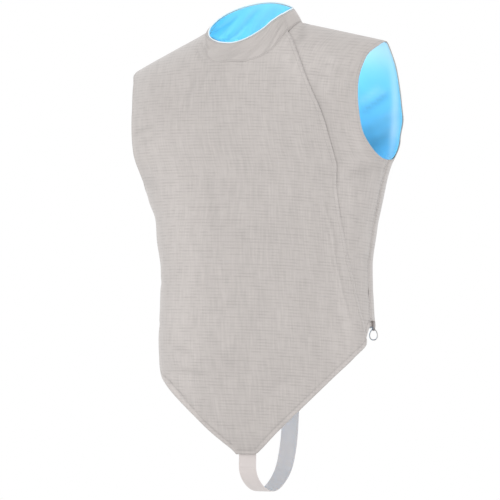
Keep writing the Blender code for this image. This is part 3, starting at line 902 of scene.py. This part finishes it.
def make_lining(name, panel, outward, depth, last, folds, painted_highlight=()):
    """Lining inside a panel: every second point moved inward, with its own folds, and close at the edges."""
    inside, inward = (grid[::2, ::2] for grid in panel)
    columns = slice(None, last)
    near = np.minimum(from_edge(inside, 1, False), from_edge(inside, 1, True))
    near = np.minimum(near, from_edge(inside, 0, True))
    loose = smooth(near, 0.0, 0.010)
    fold = marks(inside, folds) * loose
    depth = CLOSE_DEPTH + (depth - CLOSE_DEPTH) * loose
    layer = inside - inward * (depth + fold)[..., None]
    layer = slid_in(layer[:, columns], (0.012, 0.0020), (0.0006, 0.0006))
    # fold depth also paints shade on the satin, and the highlight rows paint pale shine
    values = {"fold": fold[:, columns], "painted_highlight": marks(inside, painted_highlight)[:, columns]}
    add_cloth(name, layer, LINING_WALL, outward, satin, name.replace("_cloth", ""), values)


make_lining("lining_front_right_cloth", MAIN, 1, LINING_DEPTH, -16, FRONT_LINING_FOLDS)
make_lining("lining_front_left_cloth", LEFT, 1, CLOSE_DEPTH, None, ())
make_lining("lining_back_cloth", BACK, -1, LINING_DEPTH, None, BACK_LINING_FOLDS, BACK_LINING_PAINTED_HIGHLIGHTS)

# %% [markdown]
# ## The stand collar
#
# The collar is one band sewn to the neckline. Its seam is read off the panels' own edges, all the way round,
# and its top is a tilted oval, higher behind. The ribs of its lame stand upright, because a collar is cut
# across the cloth.

# %% Collar
COLLAR_X = 0.0695
COLLAR_Y = 0.066
COLLAR_MID = (0.0015, -0.012, 0.0138)
COLLAR_TILT = 0.038
COLLAR_CANT = 0.021
CANT_TURN = 0.35
COLLAR_BULGE = 0.0015
COLLAR_LIFT = 0.0030
COLLAR_CLEAR = -0.0022
COLLAR_OUT = 0.0004
COLLAR_START = 0.108
COLLAR_STEPS = 330
COLLAR_ROWS = 22
LAP_SHARE = 0.055
SEAM_REACH = 0.004
COLLAR_SHADOW = 2.4


def even_path(points, count):
    """Path resampled to count points, evenly spaced."""
    run = run_along(points, 0)
    return read_at(np.linspace(0, run[-1], count), run, points)


def softened(points, rounds):
    """Path with each inner point moved half way to the middle of its neighbours, several times over."""
    for _ in range(rounds):
        points = np.concatenate((points[:1], (points[:-2] + 2 * points[1:-1] + points[2:]) / 4, points[-1:]))
    return points


def neckline():
    """Edge of the panels once round the neck, from under the flap's corner, behind, to that corner."""
    h = np.linspace(COLLAR_START, CROWN, 40)
    left = cloth_point(1, left_neck_s(h), h)
    behind, main = BACK[0][-1, ::-1], MAIN[0][-1]
    behind = behind[np.abs(behind[:, 0]) < NECK_X + SEAM_REACH]
    main = main[main[:, 0] > -NECK_X - SEAM_REACH]
    return softened(even_path(np.concatenate((left, behind, main)), COLLAR_STEPS), 10)


def collar_grid():
    """Stand collar: straight lines from the seam to a tilted oval, lapped at its end. The oval's height is
    -tilt cos(turn), and at the wearer's left cant sin^3(turn + CANT_TURN) more."""
    base = neckline()
    mid = np.array(COLLAR_MID)
    turn = np.arctan2((base[:, 0] - mid[0]) / COLLAR_X, -(base[:, 1] - mid[1]) / COLLAR_Y)
    cant = COLLAR_CANT * np.maximum(np.sin(turn + CANT_TURN), 0) ** 3
    top = mid + joined(COLLAR_X * np.sin(turn), -COLLAR_Y * np.cos(turn), cant - COLLAR_TILT * np.cos(turn))
    rise = unit(top - base)
    normal = unit(np.cross(np.gradient(base, axis=0), rise))
    share = np.linspace(0, 1, len(base))
    lap = COLLAR_LIFT * smooth(share, 1 - 1.6 * LAP_SHARE, 1 - LAP_SHARE)
    base = base + rise * COLLAR_CLEAR
    v = np.linspace(0, 1, COLLAR_ROWS)[:, None]
    push = COLLAR_BULGE * 4 * v * (1 - v) + COLLAR_OUT * (1 - v) + lap * v + bells(share, v, COLLAR_DENTS)
    return base + (top - base) * v[..., None] + normal * push[..., None]


def bells(share, v, rows):
    """Sum of soft bells on the collar: share along, v up, how it slants, width along, reach up, depth."""
    total = 0.0 * (share + v)
    for at, middle, slant, width, reach, depth in rows:
        across = share - at - slant * (v - middle)
        total = total + depth * np.exp(-(across / width) ** 2 - ((v - middle) / reach) ** 4)
    return total


COLLAR_DENTS = (
    # share along, share up, slant, width, reach, depth
    (0.700, 0.30, 0.020, 0.012, 0.55, -0.0010),
    (0.730, 0.50, -0.015, 0.016, 0.60, -0.0008),
    (0.820, 0.40, 0.010, 0.030, 0.70, 0.0006),
    (0.120, 0.35, 0.020, 0.014, 0.55, -0.0010),
    (0.400, 0.45, 0.020, 0.030, 0.60, -0.0008),
    (0.550, 0.45, -0.020, 0.026, 0.60, -0.0009),
)

collar_shape = collar_grid()
collar_normals = normals_of(collar_shape, 1)
collar_shown = collar_shape - collar_normals * edge_roll(collar_shape, 0.0006, 0.0016)[..., None]
collar_uv = joined(run_along(collar_shown, 0), run_along(collar_shown, 1))
# painted shadow: the collar is drawn darker along its base, where it meets the panels
collar_seam_painted_shadow = -COLLAR_SHADOW * bell(from_edge(collar_shape, 0, False), 0.0012)
add_cloth("collar_cloth", collar_shown, PANEL_WALL, 1, collar_lame, "collar", {"hem": collar_seam_painted_shadow},
          collar_uv)

# %% Collar lining, with the long folds that show in the neck
NECK_FOLDS = (
    # share along, share up, slant, width, reach, depth
    (0.560, 0.45, -0.110, 0.010, 0.80, 0.0044),
    (0.600, 0.40, -0.090, 0.014, 0.80, 0.0026),
    (0.480, 0.50, -0.140, 0.018, 0.70, 0.0022),
    (0.400, 0.45, -0.120, 0.016, 0.80, 0.0020),
    (0.320, 0.50, -0.080, 0.020, 0.80, 0.0018),
    (0.660, 0.50, 0.060, 0.016, 0.80, 0.0016),
)

share = np.linspace(0, 1, COLLAR_STEPS)[None, :]
up_share = np.linspace(0, 1, COLLAR_ROWS)[:, None]
neck_fold = bells(share, up_share, NECK_FOLDS) * smooth(1 - up_share, 0.0, 0.25)
lined = slice(None, -int(LAP_SHARE * 1.7 * COLLAR_STEPS))
collar_inside = (collar_shape - collar_normals * (CLOSE_DEPTH + neck_fold)[..., None])[:, lined]
collar_inside = slid_in(collar_inside, (0.0015, GAP), (0.0015, 0.0015))
# the fold depth also paints shade on the collar's satin
add_cloth("lining_collar_cloth", collar_inside, LINING_WALL, 1, satin, "lining_collar",
          {"fold": neck_fold[:, lined], "painted_highlight": 0 * neck_fold[:, lined]})


# %% [markdown]
# ## Round things: piping, ring and strap
#
# A thin white cord covers the collar's top edge: a small circle carried along it. The wire ring of the zip's
# pull is made in the same way, and so is the strap, from a flat band with rounded sides.

# %% A profile carried along a path
CAP_SIZE = 0.02


def swept(path, profile, first_axis, second_axis):
    """Grid of path point + profile x * first axis + profile y * second axis."""
    return path[:, None] + first_axis[:, None] * profile[:, :1] + second_axis[:, None] * profile[:, 1:]


def ring_profile(radius, sides):
    """Circle of a number of points."""
    a = np.linspace(0, 2 * math.pi, sides, endpoint=False)
    return radius * joined(np.cos(a), np.sin(a))


def capped(grid, uv=None):
    """Arrays of a swept grid's mesh, with each end closed by a ring shrunk to almost nothing."""
    shrunk = [ring * CAP_SIZE + ring.mean(axis=0) * (1 - CAP_SIZE) for ring in (grid[0], grid[-1])]
    whole = np.concatenate((shrunk[:1], grid, shrunk[1:]))
    if uv is not None:
        uv = np.concatenate((uv[:1], uv, uv[-1:]))
    return whole, quads_of(*whole.shape[:2], closed_columns=True), uv


# %% Piping
PIPING_RADIUS = 0.0011
PIPING_COLOUR = (0.80, 0.88, 0.92)
TWILL_PITCH = 0.0011

# a fine twill: two crossing ripples on the object's own coordinates
piping_white, shader = new_finish("piping_white", PIPING_COLOUR, 0.55, 0.0, 0.2)
x, y, z = add_node(shader, "SeparateXYZ", {0: add_node(shader, "TexCoord", {})["Object"]})
twill = times(ripple(calc("ADD", x, z), TWILL_PITCH), ripple(calc("SUBTRACT", y, z), TWILL_PITCH))
shade_colour(shader, PIPING_COLOUR, times(twill, 0.06, 0.96))
add_bump(shader, times(twill, 0.00005))

collar_middle = collar_shape - collar_normals * PANEL_WALL / 2
edge_up = unit(collar_middle[-1] - collar_middle[-2])
edge_path = collar_middle[-1] + edge_up * (PIPING_RADIUS + 0.0002)
edge_grid = swept(edge_path, ring_profile(PIPING_RADIUS, 12), collar_normals[-1], edge_up)
add_piece("collar_piping_cord", capped(edge_grid), piping_white, replaces="collar_piping")

# %% Strap
STRAP_WIDTH = 0.030
STRAP_WALL = 0.0016
STRAP_SQUARE = (0.35, 0.55)
STRAP_COLOUR = (0.655, 0.602, 0.586)
STRAP_SEWN = 0.010
STRAP_S = 0.035
STRAP_STEPS = 260
STRAP_BAR = -0.694
STRAP = np.array((
    # y, height
    (-0.0640, -0.7000),
    (-0.0480, -0.7190),
    (-0.0180, -0.7330),
    (0.0150, -0.7350),
    (0.0460, -0.7240),
    (0.0730, -0.7040),
    (0.0890, -0.6760),
    (0.0990, -0.6380),
    (0.1050, -0.5700),
    (0.1045, -0.5100),
))


def strap_end(side):
    """Where the strap is sewn inside a hem: STRAP_SEWN above the edge, and at it."""
    heights = hem_h(side, 0.0) + np.array((STRAP_SEWN, 0.0))
    inside = cloth_point(side, np.array((STRAP_S, STRAP_S)), heights, -PANEL_WALL - 5 * GAP)
    return inside[:, 1:]


def strap_path():
    """Outer face of the strap at mid width: a curve that passes through each row of the table in turn."""
    rows = np.vstack((strap_end(1), STRAP, strap_end(-1)[::-1]))
    rows = np.vstack((2 * rows[0] - rows[1], rows, 2 * rows[-1] - rows[-2]))
    u = np.linspace(0, 1, 24, endpoint=False)[:, None]
    points = []
    for i in range(1, len(rows) - 2):
        a, b, c, d = rows[i - 1:i + 3]
        points.append(0.5 * (2 * b + (c - a) * u + (2 * a - 5 * b + 4 * c - d) * u ** 2
                             + (3 * b - a - 3 * c + d) * u ** 3))
    points = np.vstack(points + [rows[-2:-1]])
    return even_path(np.column_stack((0 * points[:, 0] + LEAN[0, 2], points)), STRAP_STEPS)


# white elastic: narrow ribs along its length, and a fine crossing ripple
webbing, shader = new_finish("white_elastic", STRAP_COLOUR, 0.75, 0.0, 0.25)
across, up = weave_axes(shader)
rib, cross = ripple(across, 0.0016), ripple(up, 0.0011)
wear = stretched_noise(across, up, 0.010, 0.040)
shade_colour(shader, STRAP_COLOUR, times(cross, 0.02, swing(wear, 0.06, times(rib, 0.05, 0.94))))
add_bump(shader, times(cross, 0.00006, times(rib, 0.00016)))

strap_line = strap_path()
strap_run = run_along(strap_line, 0)
strap_along = unit(np.gradient(strap_line, axis=0))
strap_across = 0 * strap_line + (1.0, 0.0, 0.0)
strap_out = unit(np.cross(strap_along, strap_across))
strap_round = ring_profile(1.0, 56)
strap_round = np.sign(strap_round) * np.abs(strap_round) ** STRAP_SQUARE
strap_profile = (strap_round - (0, 1)) * (STRAP_WIDTH / 2, STRAP_WALL / 2)
strap_grid = swept(strap_line, strap_profile, strap_across, strap_out)
strap_uv = np.stack(np.broadcast_arrays(strap_profile[None, :, 0], strap_run[:, None]), axis=-1)
strap = add_piece("crotch_strap_band", capped(strap_grid, strap_uv), webbing,
                  replaces="crotch_strap")
print(f"strap: {strap_run[-1] * 100:.1f} cm long")

# %% [markdown]
# ## Stitches
#
# Every edge is turned in and sewn down. A stitch is a short thread that bulges between two needle holes, so
# it can be a small six-sided capsule.

# %% A line inside an edge
def line_inside(points, normals, axis, end, distance):
    """Path on a grid at a distance inside an edge, and its normals there."""
    depth, grid, out = (np.moveaxis(a, axis, 0) for a in (from_edge(points, axis, end), points, normals))
    if end:
        depth, grid, out = depth[::-1], grid[::-1], out[::-1]
    i = np.clip((depth < distance).sum(axis=0) - 1, 0, len(depth) - 2)
    j = np.arange(depth.shape[1])
    share = ((distance - depth[i, j]) / (depth[i + 1, j] - depth[i, j]))[:, None]
    return grid[i, j] * (1 - share) + grid[i + 1, j] * share, out[i, j]


# %% Capsules along a line
STITCH_PITCH = 0.0032
STITCH_LENGTH = 0.0022
STITCH_RADIUS = 0.00024
STITCH_SIDES = 6
CAPSULE = np.array((
    # share along, share of the radius
    (0.00, 0.02),
    (0.12, 0.80),
    (0.50, 1.00),
    (0.88, 0.80),
    (1.00, 0.02),
))


def add_stitches(name, lines, finish):
    """Capsules along lines: five rings each, with centres from hole to hole."""
    grids = []
    ring = ring_profile(STITCH_RADIUS, STITCH_SIDES)
    size = CAPSULE[:, 1, None, None]
    for path, normals in lines:
        run = run_along(path, 0)
        middle = (np.arange(int(run[-1] / STITCH_PITCH)) + 0.5) * STITCH_PITCH
        wanted = middle[:, None] + (CAPSULE[:, 0] - 0.5) * STITCH_LENGTH
        centre = read_at(wanted, run, path)
        out = unit(read_at(wanted, run, normals))
        aside = unit(np.cross(out, centre[:, -1:] - centre[:, :1]))
        sides = ring[:, :1] * aside[:, :, None] + ring[:, 1:] * out[:, :, None]
        grids.append(centre[:, :, None] + size * sides)
    grid = np.concatenate(grids)
    one = quads_of(len(CAPSULE), STITCH_SIDES, closed_columns=True)
    quads = (one + (np.arange(len(grid)) * len(CAPSULE) * STITCH_SIDES)[:, None, None]).reshape(-1, 4)
    add_piece(name, (grid, quads), finish)


thread_grey, _ = new_finish("grey_thread", (0.330, 0.310, 0.300), 0.6)
thread_white, _ = new_finish("white_thread", (0.560, 0.520, 0.510), 0.6)
COLLAR = (collar_shown, collar_normals)
SEAMS = {
    # piece: its grid, axis, whether at the end, distance inside that edge
    "hem_stitches": ((MAIN, 0, False, hem_band(1, main_grid[0][0]) + GROOVE_OUT),
                     (LEFT, 0, False, HEM_BAND + GROOVE_OUT), (BACK, 0, False, HEM_BAND + GROOVE_OUT)),
    "edge_stitches": ((MAIN, 1, False, 0.0050), (MAIN, 1, True, 0.0060), (LEFT, 1, True, 0.0050),
                      (BACK, 1, False, 0.0050), (BACK, 1, True, 0.0050)),
    "collar_stitches": ((COLLAR, 0, False, 0.0034), (COLLAR, 0, True, 0.0030)),
}
for name, rows in SEAMS.items():
    add_stitches(name, [line_inside(*grid, *edge) for grid, *edge in rows], thread_grey)
strap_front = strap_line[:STRAP_STEPS // 3]
bar_at = np.abs(strap_front[:, 2] - STRAP_BAR).argmin() + np.array((0, 2))
bar_across = np.linspace(-0.44, 0.44, 12)[:, None] * (STRAP_WIDTH, 0.0, 0.0)
bars = [(strap_line[i] + bar_across, np.tile(strap_out[i], (12, 1))) for i in bar_at]
add_stitches("strap_stitches", bars, thread_white)

# %% [markdown]
# ## Behind the side seams
#
# The zip is hidden in the seam at the wearer's left, so all that shows is its dark tape in the slit. At the
# other side the seam allowance, folded open, lies behind the seam in the same way.

# %% Tapes
TAPE_HALF = 0.0045
TAPE_EDGE = 0.0010
TAPE_DEPTH = PANEL_WALL + 0.0002
TAPE_WALL = 0.0003
SEAM_ROWS = 91


def add_tape(name, front, end, finish):
    """Strip behind a side seam: lines inside both panels' edges, moved in behind their walls."""
    lines = []
    for panel, inset in ((front, TAPE_HALF), (front, TAPE_EDGE), (BACK, TAPE_EDGE), (BACK, TAPE_HALF)):
        path, out = line_inside(*panel, 1, end, inset)
        lines.append((path - out * TAPE_DEPTH)[2:SEAM_ROWS])
    grid = np.stack(lines, axis=1)
    add_cloth(name, grid, TAPE_WALL, 1 if end else -1, finish, None, {"hem": 0 * grid[..., 0]})


tape_grey, _ = new_finish("tape_grey", (0.200, 0.190, 0.185), 0.8)
add_tape("zip_tape", LEFT, True, tape_grey)
add_tape("seam_allowance_right", MAIN, False, lame)

# %% Pull ring
SLIDER_X = frame["joints"][0]["pos_m"][0]
SLIDER_Y = 0.0195
EYE_Z = -0.4765
RING_WIRE = 0.0009
RING_HALF_WIDTH = 0.0066
RING_LENGTH = 0.0192


def metal_finish(name, colour, roughness):
    """Cast metal: fine scratches change its roughness."""
    finish, shader = new_finish(name, colour, roughness, 0.9)
    place = add_node(shader, "TexCoord", {})["Object"]
    scratch = add_node(shader, "TexNoise", {"Vector": place, "Scale": 900.0})["Fac"]
    plug(shader.inputs["Roughness"], times(scratch, 0.3, roughness - 0.15))
    shade_colour(shader, colour, times(scratch, 0.3, 0.85))
    return finish


ring_metal = metal_finish("ring_metal", (0.56, 0.54, 0.53), 0.35)
slider_metal = metal_finish("slider_metal", (0.38, 0.35, 0.34), 0.40)
turn = np.linspace(0, 2 * math.pi, 96, endpoint=False)
ring_path = joined(
    SLIDER_X + RING_HALF_WIDTH * np.sin(turn) * (1 - 0.18 * np.cos(turn)),
    SLIDER_Y + 0 * turn,
    EYE_Z + (RING_LENGTH / 2 - RING_WIRE) * (np.cos(turn) - 1))
ring_along = unit(np.roll(ring_path, -1, axis=0) - np.roll(ring_path, 1, axis=0))
ring_side = 0 * ring_path + (0.0, 1.0, 0.0)
ring_grid = swept(ring_path, ring_profile(RING_WIRE, 12), unit(np.cross(ring_along, ring_side)), ring_side)
ring_quads = quads_of(*ring_grid.shape[:2], closed_rows=True, closed_columns=True)
add_piece("pull_ring_wire", (ring_grid, ring_quads), ring_metal, "ring", "pull_ring")
frame["nodes"]["zip_slider"].data.materials.clear()
frame["nodes"]["zip_slider"].data.materials.append(slider_metal)

# %% [markdown]
# ## Light, floor and camera
#
# The vest was lit evenly, in a white studio. A white world does most of that. Four large soft lights give it
# a little shape, and one reaches down into the neck. Small weak ones stand for light that bounces about in
# the armhole, the neck and the strap's loop.

# %% Studio
FLOOR_Z = -1.45

bpy.context.scene.view_settings.view_transform = "Standard"
world = bpy.data.worlds.new("studio")
bpy.context.scene.world = world
world.use_nodes = True
sky = world.node_tree.nodes["Background"].inputs
sky["Color"].default_value = (1.0, 1.0, 1.0, 1.0)
sky["Strength"].default_value = 1.0


def turned_to(way):
    """Rotation of a light or camera that looks one way."""
    return Vector(way).to_track_quat("-Z", "Y").to_euler()


def add_light(name, place, aim, size, power, tint=(1.0, 1.0, 1.0)):
    """Square soft light at a place, aimed at a point."""
    data = bpy.data.lights.new(name, "AREA")
    data.size = size
    data.energy = power
    data.color = tint
    light = add_object(name, data)
    light.location = place
    light.rotation_euler = turned_to(np.array(aim) - place)
    light.visible_camera = False


LIGHTS = (
    # name, place, aim, size, watts, and a tint where it isn't white
    ("left_soft", (-2.6, -1.4, -0.7), (0.0, 0.0, -0.4), 1.6, 12.0),
    ("right_soft", (2.7, -0.5, -0.5), (0.0, 0.0, -0.3), 1.4, 8.0),
    ("low_front", (0.4, -2.2, -1.3), (0.0, 0.0, -0.5), 1.2, 4.0),
    ("upper_front", (-0.3, -2.8, 0.9), (0.0, 0.0, -0.2), 1.4, 3.0),
    ("inside_arm", (0.105, -0.005, -0.075), (0.195, 0.060, -0.070), 0.05, 0.075),
    ("inside_arm_low", (0.060, -0.040, -0.200), (0.200, 0.070, -0.170), 0.08, 0.012),
    ("inside_neck", (0.020, -0.030, -0.070), (-0.010, 0.050, 0.040), 0.05, 0.065, (0.62, 1.0, 1.0)),
    ("in_strap_loop", (0.020, -0.010, -0.645), (0.020, 0.100, -0.630), 0.04, 0.016, (1.0, 0.72, 0.50)),
    ("into_neck", (0.20, -0.50, 0.90), (0.0, 0.0, 0.0), 0.3, 1.3),
)
for light in LIGHTS:
    add_light(*light)

corners = np.array([[(x, y, FLOOR_Z) for x in (-2.0, 2.0)] for y in (-2.0, 2.0)])
floor_mesh = mesh_of("floor", corners, quads_of(2, 2))
floor_finish, _ = new_finish("pale_floor", (0.86, 0.86, 0.86), 0.8)
floor_mesh.materials.append(floor_finish)
floor = add_object("floor", floor_mesh)

# %% Camera
AZIMUTH = math.radians(25.0)
ELEVATION = math.radians(-1.5)
DISTANCE = 5.0
AIM = np.array((0.020, 0.0, -0.350))
AIM_LEFT = 0.0232
LENS = 225.0
SENSOR = 36.0

level = np.array((math.sin(AZIMUTH), -math.cos(AZIMUTH), 0.0))
away = level * math.cos(ELEVATION) + (0.0, 0.0, math.sin(ELEVATION))
rightward = unit(np.cross(-away, (0.0, 0.0, 1.0)))
aim = AIM - rightward * AIM_LEFT
camera_data = bpy.data.cameras.new("camera")
camera_data.lens = LENS
camera_data.sensor_width = SENSOR
camera = add_object("camera", camera_data)
camera.location = aim + away * DISTANCE
camera.rotation_euler = turned_to(-away)
bpy.context.scene.camera = camera
